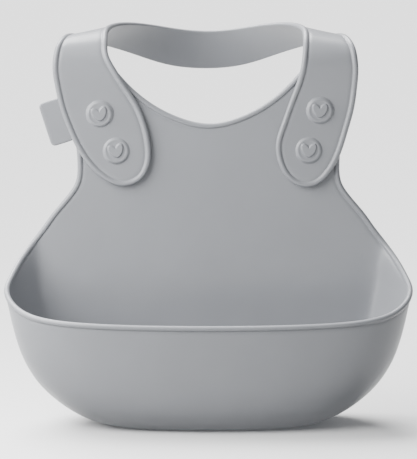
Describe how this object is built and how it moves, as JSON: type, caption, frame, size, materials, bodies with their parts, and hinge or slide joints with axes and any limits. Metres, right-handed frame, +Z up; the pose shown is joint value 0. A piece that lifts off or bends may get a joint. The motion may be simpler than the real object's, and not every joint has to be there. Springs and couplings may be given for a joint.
{
  "type": "silicone baby bib",
  "caption": "Soft one-colour silicone bib with a catch-all scoop pocket and a separate neck band held by heart-topped push-through studs.",
  "frame": {"origin": "middle of the flat base that the bib stands on", "axes": "+Z up along the apron, -Y to the front where the pocket opens, +X to the right as seen from the front"},
  "size_m": [0.2308, 0.1467, 0.2225],
  "materials": {
    "silicone": "satin moulded silicone",
    "band_silicone": "satin moulded silicone",
    "stud_silicone": "satin moulded silicone",
    "tag_silicone": "satin moulded silicone"
  },
  "bodies": {
    "bib": {"bib_body": "silicone", "side_tag": "tag_silicone"},
    "right_strap": {"right_strap_end": "band_silicone", "right_upper_stud": "stud_silicone", "right_lower_stud": "stud_silicone"},
    "neck_band": {"collar": "band_silicone"},
    "left_strap": {"left_strap_end": "band_silicone", "left_upper_stud": "stud_silicone", "left_lower_stud": "stud_silicone"}
  },
  "joints": [
    {"name": "band_pull_off", "type": "slide", "parent": "bib", "child": "right_strap", "axis": [0, -1, 0], "range_m": [0, 0.02], "deforming": ["right_upper_stud", "right_lower_stud", "left_upper_stud", "left_lower_stud"]},
    {"name": "right_shoulder_twist", "type": "hinge", "parent": "right_strap", "child": "neck_band", "pos_m": [0.0684, 0.0254, 0.207], "axis": [0.2924, 0, 0.9563], "range_deg": [0, 60], "stiffness_Nm_per_rad": 0.03},
    {"name": "left_shoulder_bend", "type": "hinge", "parent": "neck_band", "child": "left_strap", "pos_m": [-0.0718, 0.0244, 0.207], "axis": [-1, 0, 0], "range_deg": [0, 80], "stiffness_Nm_per_rad": 0.02}
  ]
}
